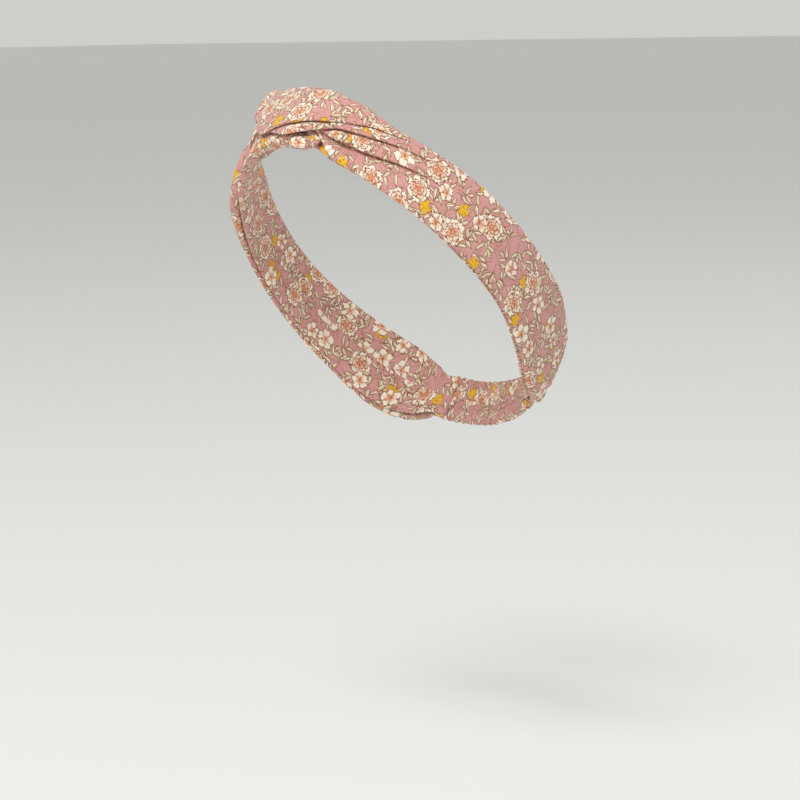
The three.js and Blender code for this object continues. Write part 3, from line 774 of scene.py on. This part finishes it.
def buildWeave():
    # plain weave: threads crossing over and under, as a height, and as a painted shade that darkens the gaps
    # between threads, mixed with random slub tone in the yarn
    tree, given, out = newGroup("plainWeave", "*Cloth Thread", "Height Shade")
    halfTurn = 3.14159
    slub = cloudNoise(given["Cloth"], 0.9, 3.0)[0]
    wobble = times(slub, 1.6)
    warp, weft = (sums("SINE", plus(times(axis, sums("DIVIDE", halfTurn, given["Thread"])),
                                          wobble)) for axis in axesOf(given["Cloth"]))
    crossing = unsigned(times(warp, weft))
    plug(out["Height"], plus(crossing, times(slub, 0.6)))
    # Shade: painted shade in the gaps between threads, plus random slub tone
    plug(out["Shade"], plus(times(crossing, 0.35), times(slub, 0.65)))
    return tree


scatter, bloom, leaf, weave = buildScatter(), buildBloom(), buildLeaf(), buildWeave()
print("print motifs")

printDyes = {
    "ground": swatch(212, 155, 150), "groundDeep": swatch(198, 139, 134), "cream": swatch(244, 230, 210),
    "creamShade": swatch(208, 189, 151), "line": swatch(142, 94, 70), "stem": swatch(148, 110, 82),
    "peach": swatch(220, 152, 112), "rust": swatch(190, 106, 66), "mustard": swatch(230, 178, 42),
    "mustardLine": swatch(168, 110, 32),
}
# Sizes and spacings of the print, in millimetres of cloth. Each noise is its rate and its detail.
printPlan = {
    "blotch": (0.12, 4.0), "wander": (0.32, 1.5), "nib": (0.95, 1.0),
    "nibReach": 1.5, "leafWander": 1.8, "flowerWander": 2.6,
    # level, rate and shift of each set of stems
    "stems": ((0.5, 0.085, (0.0, 0.0, 0.0)), (0.42, 0.085, (0.0, 0.0, 0.0)), (0.5, 0.12, (91.0, 33.0, 0.0))),
    "stemDetail": 0.6, "stemInner": 0.06, "stemOuter": 0.13, "leafLine": 0.26,
    # turn, start, length and width of a leaf
    "sprigLeaf": (-0.8, 0.4, 6.4, 1.9), "tipLeaf": (0.0, 1.2, 6.0, 1.8), "singleLeaf": (0.0, -3.4, 6.8, 2.0),
    # spacing and shift, and for single leaves the share left out
    "sprigs": ((11.2, (0.0, 0.0, 0.0)), (13.4, (57.0, 23.0, 0.0))), "sprigJitter": 0.75, "tipLeast": 0.3,
    "singles": ((7.4, (19.0, 83.0, 0.0), 0.25), (8.8, (133.0, 61.0, 0.0), 0.4)), "singleJitter": 0.8,
    "stars": {"Spacing": 19.0, "Jitter": 0.8, "Shift": (71.0, 37.0, 0.0)}, "starLeast": 0.52,
    "star": {"Petals": 5.0, "Size": 3.5, "Notch": 0.5, "Line": 0.24, "Ragged": 0.0},
    "flowers": {"Spacing": 17.0, "Jitter": 0.7, "Shift": (5.0, 9.0, 0.0)},
    "flowerLeast": 0.1, "roseLeast": 0.6, "petal": {"Line": 0.36, "Ragged": 0.05},
    "flowerPetals": 5.0, "flowerSize": (4.6, 6.2), "flowerNotch": (0.36, 0.6),
    # petals, size, notch, turn and share of peach of each row of a rose, from the outside in
    "rose": ((7.0, 6.9, 0.2, 0.0, 0.0), (6.0, 4.9, 0.18, 0.7, 0.3), (5.0, 3.2, 0.2, 1.9, 0.6),
             (3.0, 1.6, 0.3, 0.4, 0.95)),
}


def floralPrint(tree, cloth, dyes, plan, groundAmount):
    # ground, stems, leaves, small mustard stars, five-petalled flowers and layered roses, in that order
    blotch = cloudNoise(cloth, *plan["blotch"])[0]
    colour = mixed(tree, ramped(blotch, 0.35, 0.7, 0.0, groundAmount), dyes["ground"], dyes["groundDeep"])

    def strays(kind):
        return vectors("SUBTRACT", cloudNoise(cloth, *plan[kind])["Color"], (0.5, 0.5, 0.5))

    def picked(spot, least):
        return ramped(spot["Pick"], least, least + 0.01)

    def inked(colour, motif, shown, fill, line):
        colour = mixed(tree, times(motif["Fill"], shown), colour, fill)
        return mixed(tree, times(motif["Outline"], shown), colour, line)

    def layLeaf(colour, local, shape, shown):
        turn, start, length, width = shape
        one = placeGroup(tree, leaf, Local=local, Turn=turn, Start=start, Length=length, Width=width,
                         Line=plan["leafLine"])
        fill = mixed(tree, one["Shade"], dyes["cream"], dyes["creamShade"])
        return inked(colour, one, shown, fill, dyes["line"])

    # the whole drawing wanders a little, so nothing is ruled or compass-round
    offset = strays("wander")
    jiggle = scaled(strays("nib"), plan["nibReach"])
    firm = vectors("ADD", cloth, scaled(offset, plan["leafWander"]))
    drawn = vectors("ADD", cloth, scaled(offset, plan["flowerWander"]))
    drawn = vectors("ADD", drawn, jiggle)

    # thin wandering stems
    for level, rate, moved in plan["stems"]:
        trail = cloudNoise(vectors("ADD", cloth, moved), rate, plan["stemDetail"])[0]
        away = unsigned(minus(trail, level))
        drawnStem = ramped(away, plan["stemInner"] * rate, plan["stemOuter"] * rate, 0.5, 0.0)
        colour = mixed(tree, drawnStem, colour, dyes["stem"])

    # pairs and threes of leaves on short stalks
    for spacing, moved in plan["sprigs"]:
        spot = placeGroup(tree, scatter, Cloth=firm, Spacing=spacing, Jitter=plan["sprigJitter"], Shift=moved)
        x, y = axesOf(spot["Local"])
        aside = unsigned(y)
        stalk = times(ramped(aside, 0.1, 0.2, 1.0, 0.0),
                      ramped(unsigned(plus(x, 1.6)), 3.0, 3.2, 1.0, 0.0))
        colour = mixed(tree, stalk, colour, dyes["stem"])
        colour = layLeaf(colour, flatPoint(x, aside), plan["sprigLeaf"], 1.0)
        colour = layLeaf(colour, spot["Local"], plan["tipLeaf"], picked(spot, plan["tipLeast"]))

    # single larger leaves
    for spacing, moved, least in plan["singles"]:
        spot = placeGroup(tree, scatter, Cloth=firm, Spacing=spacing, Jitter=plan["singleJitter"], Shift=moved)
        colour = layLeaf(colour, spot["Local"], plan["singleLeaf"], picked(spot, least))

    # small mustard stars
    spot = placeGroup(tree, scatter, Cloth=drawn, **plan["stars"])
    star = placeGroup(tree, bloom, Radius=spot["Radius"], Angle=spot["Angle"], **plan["star"])
    colour = inked(colour, star, picked(spot, plan["starLeast"]), dyes["mustard"], dyes["mustardLine"])

    # five-petalled flowers and roses share one set of places
    spot = placeGroup(tree, scatter, Cloth=drawn, **plan["flowers"])
    isRose = picked(spot, plan["roseLeast"])
    isFlower = times(minus(1.0, isRose), picked(spot, plan["flowerLeast"]))
    radius, angle = spot["Radius"], spot["Angle"]
    petals = placeGroup(tree, bloom, Radius=radius, Angle=angle, Petals=plan["flowerPetals"],
                        Size=ramped(spot["Pick2"], 0.0, 1.0, *plan["flowerSize"]),
                        Notch=ramped(spot["Pick2"], 0.0, 1.0, *plan["flowerNotch"]), **plan["petal"])
    blush = mixed(tree, ramped(radius, 0.9, 3.6, 0.85, 0.0), dyes["cream"], dyes["peach"])
    colour = inked(colour, petals, isFlower, blush, dyes["line"])
    eye = times(ramped(radius, 0.75, 0.95, 1.0, 0.0), isFlower)
    colour = mixed(tree, eye, colour, dyes["rust"])
    for petalCount, size, notch, turn, inner in plan["rose"]:
        ring = placeGroup(tree, bloom, Radius=radius, Angle=plus(angle, turn), Petals=petalCount, Size=size,
                          Notch=notch, **plan["petal"])
        colour = inked(colour, ring, isRose, mixed(tree, inner, dyes["cream"], dyes["peach"]),
                       mixed(tree, inner, dyes["line"], dyes["rust"]))
    return colour


def newFinish(name, surface):
    material = bpy.data.materials.new(name)
    material.use_nodes = True
    shader = material.node_tree.nodes["Principled BSDF"]
    for socket, value in surface.items():
        shader.inputs[socket].default_value = value
    return material, material.node_tree, shader


def wovenCloth(tree, thread):
    where = addNode(tree, "ShaderNodeUVMap", uv_map="cloth").outputs[0]
    return where, placeGroup(tree, weave, Cloth=where, Thread=thread)


def addBump(shader, height, strength, depth):
    bump = addNode(treeOf(height), "ShaderNodeBump")
    bump.inputs["Strength"].default_value = strength
    bump.inputs["Distance"].default_value = depth
    plug(bump.inputs["Height"], height)
    plug(shader.inputs["Normal"], bump.outputs[0])


# the weave's painted shade in the gaps between threads, with its random slub tone, runs from 0.9 to 1.05 of
# the print's brightness
cotton = {"surface": {"Roughness": 0.82, "Specular IOR Level": 0.28, "Sheen Weight": 0.22,
                      "Sheen Roughness": 0.45, "Sheen Tint": (1.0, 0.93, 0.9, 1.0)},
          "thread": 0.28, "shade": (0.9, 1.05), "roughness": (0.88, 0.74), "bump": (0.35, 0.00006)}


def cottonMaterial(name, style, groundAmount):
    material, tree, shader = newFinish(name, style["surface"])
    where, threads = wovenCloth(tree, style["thread"])
    colour = floralPrint(tree, where, printDyes, printPlan, groundAmount)
    # the print is multiplied by the weave's painted shade, darker in the gaps between threads, and by its
    # random slub tone
    shade = ramped(threads["Shade"], 0.2, 0.75, *style["shade"])
    weaveShadeAndSlubTint = addNode(tree, "ShaderNodeCombineColor")
    for socket in weaveShadeAndSlubTint.inputs[:3]:
        plug(socket, shade)
    plug(shader.inputs["Base Color"], mixed(tree, 1.0, colour, weaveShadeAndSlubTint.outputs[0], "MULTIPLY"))
    plug(shader.inputs["Roughness"], ramped(threads["Shade"], 0.2, 0.8, *style["roughness"]))
    addBump(shader, threads["Height"], *style["bump"])
    return material


printedCotton = cottonMaterial("printedCotton", cotton, 0.5)
casingCotton = cottonMaterial("casingCotton", cotton, 0.8)

# dark and light: the tape's colour darkened in the weave's gaps as painted shade and lighter on the thread
# tops, also varied by random slub tone
knitted = {"surface": {"Specular IOR Level": 0.35, "Sheen Weight": 0.1}, "thread": 0.7,
           "dark": swatch(214, 208, 196), "light": swatch(247, 244, 236), "roughness": (0.75, 0.58),
           "bump": (0.5, 0.00012)}


def elasticMaterial(style):
    material, tree, shader = newFinish("knittedElastic", style["surface"])
    threads = wovenCloth(tree, style["thread"])[1]
    # painted shade: darker in the gaps between threads, mixed with random slub tone
    shade = ramped(threads["Shade"], 0.2, 0.8)
    plug(shader.inputs["Base Color"], mixed(tree, shade, style["dark"], style["light"]))
    plug(shader.inputs["Roughness"], ramped(threads["Shade"], 0.2, 0.8, *style["roughness"]))
    addBump(shader, threads["Height"], *style["bump"])
    return material


# dark and light: the thread's colour darkened in the grooves between plies as painted shade, and lighter on
# the plies
sewing = {"surface": {"Specular IOR Level": 0.45, "Sheen Weight": 0.15}, "plies": 900.0, "slack": 0.4,
          "dark": swatch(196, 134, 124), "light": swatch(226, 172, 162), "roughness": (0.62, 0.48),
          "bump": (0.4, 0.00008)}


def threadMaterial(style):
    # two-ply thread: a fine slanting twist on the stitch, with painted shade darkening the grooves between the
    # plies
    material, tree, shader = newFinish("sewingThread", style["surface"])
    twist = addNode(tree, "ShaderNodeTexWave", wave_type="BANDS", bands_direction="DIAGONAL")
    plug(twist.inputs["Vector"], addNode(tree, "ShaderNodeTexCoord").outputs["Object"])
    twist.inputs["Scale"].default_value = style["plies"]
    twist.inputs["Distortion"].default_value = style["slack"]
    ply = twist.outputs["Fac"]
    # painted shade: the colour is darker in the twist's grooves
    plug(shader.inputs["Base Color"], mixed(tree, ply, style["dark"], style["light"]))
    plug(shader.inputs["Roughness"], ramped(ply, 0.0, 1.0, *style["roughness"]))
    addBump(shader, ply, *style["bump"])
    return material


knittedElastic, sewingThread = elasticMaterial(knitted), threadMaterial(sewing)
for piece, finish in ((leftCloth, printedCotton), (rightCloth, printedCotton), (casingCloth, casingCotton),
                      (elasticTape, knittedElastic)):
    piece.data.materials.append(finish)
for piece in (leftJoin, rightJoin, leftSeam, rightSeam, casingSeam):
    piece.data.materials.append(sewingThread)
print("materials")


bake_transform(leftCloth)
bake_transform(rightCloth)
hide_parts("left_tube_fold", "left_outer_leg", "left_inner_leg")
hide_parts("right_tube_fold", "right_outer_leg", "right_inner_leg")
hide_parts("elastic_casing")
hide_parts("elastic_strip")
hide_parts("left_join_stitching")
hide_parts("right_join_stitching")
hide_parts("left_tube_seam")
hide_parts("right_tube_seam")
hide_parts("casing_seam")
for piece in (casingCloth, elasticTape, casingSeam):
    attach(piece, "twist")
    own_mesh(piece)
for piece in (leftJoin, leftSeam):
    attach(piece, "left_side")
for piece in (rightJoin, rightSeam):
    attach(piece, "right_side")
print("pieces placed")


# A plain pale floor, soft studio light and the camera.
studio = {"floor": -0.30, "floorHalf": 60.0, "grain": 3.0,
          "paper": (swatch(228, 228, 226), swatch(232, 232, 230)),
          "paperSurface": {"Roughness": 0.95, "Specular IOR Level": 0.1},
          "room": swatch(214, 214, 211), "roomLight": 0.92,
          # place, size in metres, watts and colour; every lamp faces the loop's middle
          "lamps": {"window": ((0.7, -2.3, 2.6), 1.6, 84.0, (0.985, 0.992, 1.0)),
                    "fill": ((2.4, -1.2, 1.2), 2.0, 1.5, (1.0, 0.97, 0.93)),
                    "back": ((0.8, 2.4, 2.0), 2.0, 7.0, (1.0, 0.99, 0.97))}}
bm = bmesh.new()
bmesh.ops.create_grid(bm, x_segments=8, y_segments=8, size=studio["floorHalf"],
                      matrix=Matrix.Translation((0, 0, studio["floor"])))
floor = newPiece("studio_floor", bm)
floorPaint, paperTree, paperShader = newFinish("palePaper", studio["paperSurface"])
paperNoise = addNode(paperTree, "ShaderNodeTexNoise")
paperNoise.inputs["Scale"].default_value = studio["grain"]
plug(paperShader.inputs["Base Color"], mixed(paperTree, paperNoise.outputs[0], *studio["paper"]))
floor.data.materials.append(floorPaint)


def softLight(name, position, size, power, colour):
    lamp = bpy.data.lights.new(name, "AREA")
    lamp.shape = "DISK"
    lamp.size = size
    lamp.energy = power
    lamp.color = colour
    holder = bpy.data.objects.new(name, lamp)
    facing = (-Vector(position)).to_track_quat("-Z", "Y").to_matrix().to_4x4()
    holder.matrix_world = Matrix.Translation(position) @ facing
    bpy.context.scene.collection.objects.link(holder)


for name, settings in studio["lamps"].items():
    softLight(name, *settings)
world = bpy.data.worlds.new("paleRoom")
world.use_nodes = True
world.node_tree.nodes["Background"].inputs[0].default_value = studio["room"]
world.node_tree.nodes["Background"].inputs[1].default_value = studio["roomLight"]
bpy.context.scene.world = world
bpy.context.scene.view_settings.view_transform = "Standard"

# angles in degrees, distances in metres, and the picture's width in millimetres at the loop
view = {"azimuth": 39.2, "elevation": 8.6, "roll": -1.0, "distance": 1.3, "right": 0.0046, "down": 0.0827,
        "pictureWidth": 422.6096144}
azimuth, elevation, roll = (math.radians(view[k]) for k in ("azimuth", "elevation", "roll"))
level = math.cos(elevation)
away = Vector((math.sin(azimuth) * level, -math.cos(azimuth) * level, math.sin(elevation)))
right = Vector((math.cos(azimuth), math.sin(azimuth), 0))
upward = away.cross(right)
cameraData = bpy.data.cameras.new("camera")
cameraData.angle = 2 * math.atan(0.5 * view["pictureWidth"] * perMetre / view["distance"])
camera = bpy.data.objects.new("camera", cameraData)
aim = right * view["right"] - upward * view["down"]
rightRolled = right * math.cos(roll) + upward * math.sin(roll)
upRolled = upward * math.cos(roll) - right * math.sin(roll)
turnMatrix = Matrix((rightRolled, upRolled, away)).transposed().to_4x4()
camera.matrix_world = Matrix.Translation(aim + away * view["distance"]) @ turnMatrix
bpy.context.scene.collection.objects.link(camera)
bpy.context.scene.camera = camera
